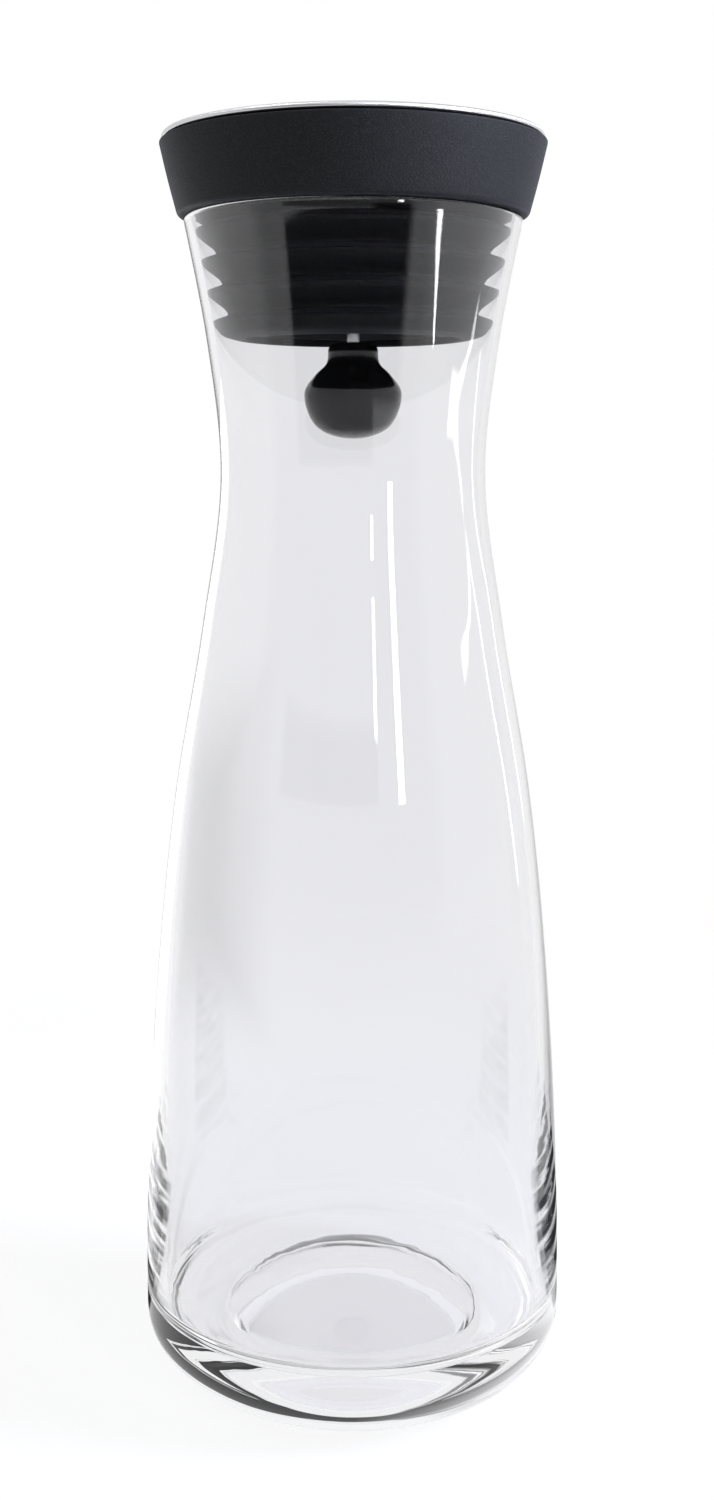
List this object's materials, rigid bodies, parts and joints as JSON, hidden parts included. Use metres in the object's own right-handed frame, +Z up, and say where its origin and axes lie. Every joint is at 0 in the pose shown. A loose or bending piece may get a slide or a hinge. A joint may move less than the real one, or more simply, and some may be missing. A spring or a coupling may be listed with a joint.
{
  "type": "glass carafe with self-closing lid",
  "caption": "Tall waisted clear glass water carafe with a ribbed black silicone stopper and a metal lid that rocks open on a pendulum weight as it is tipped.",
  "frame": {"origin": "centre of the foot ring, on the surface that the carafe stands on", "axes": "+Z up along the carafe's axis; the lid opens towards +X and rocks on its edge at -X"},
  "size_m": [0.1002, 0.1002, 0.2932],
  "materials": {
    "clear_glass": "fire-polished, clear",
    "black_silicone": "matt, moulded",
    "black_moulding": "satin, moulded",
    "brushed_steel": "brushed in circles",
    "bright_steel": "bright drawn",
    "glossy_black": "high gloss"
  },
  "bodies": {
    "carafe": {"glass_carafe": "clear_glass"},
    "stopper": {"silicone_stopper": "black_silicone"},
    "insert": {"guide_insert": "black_moulding"},
    "lid": {"lid_cover": "brushed_steel", "lid_base": "black_moulding", "lid_seal": "black_silicone", "pendulum_rod": "bright_steel", "clamp_washer": "bright_steel", "clamp_nut": "bright_steel", "weight_core": "bright_steel", "weight_shell": "glossy_black"}
  },
  "joints": [
    {"name": "closure_lift", "type": "slide", "parent": "carafe", "child": "stopper", "axis": [0, 0, 1], "range_m": [0, 0.06]},
    {"name": "insert_turn", "type": "hinge", "parent": "stopper", "child": "insert", "pos_m": [0, 0, 0.28], "axis": [0, 0, 1], "continuous": true},
    {"name": "lid_tilt", "type": "hinge", "parent": "insert", "child": "lid", "pos_m": [-0.04192, 0, 0.29035], "axis": [0, -1, 0], "range_deg": [0, 14]}
  ]
}
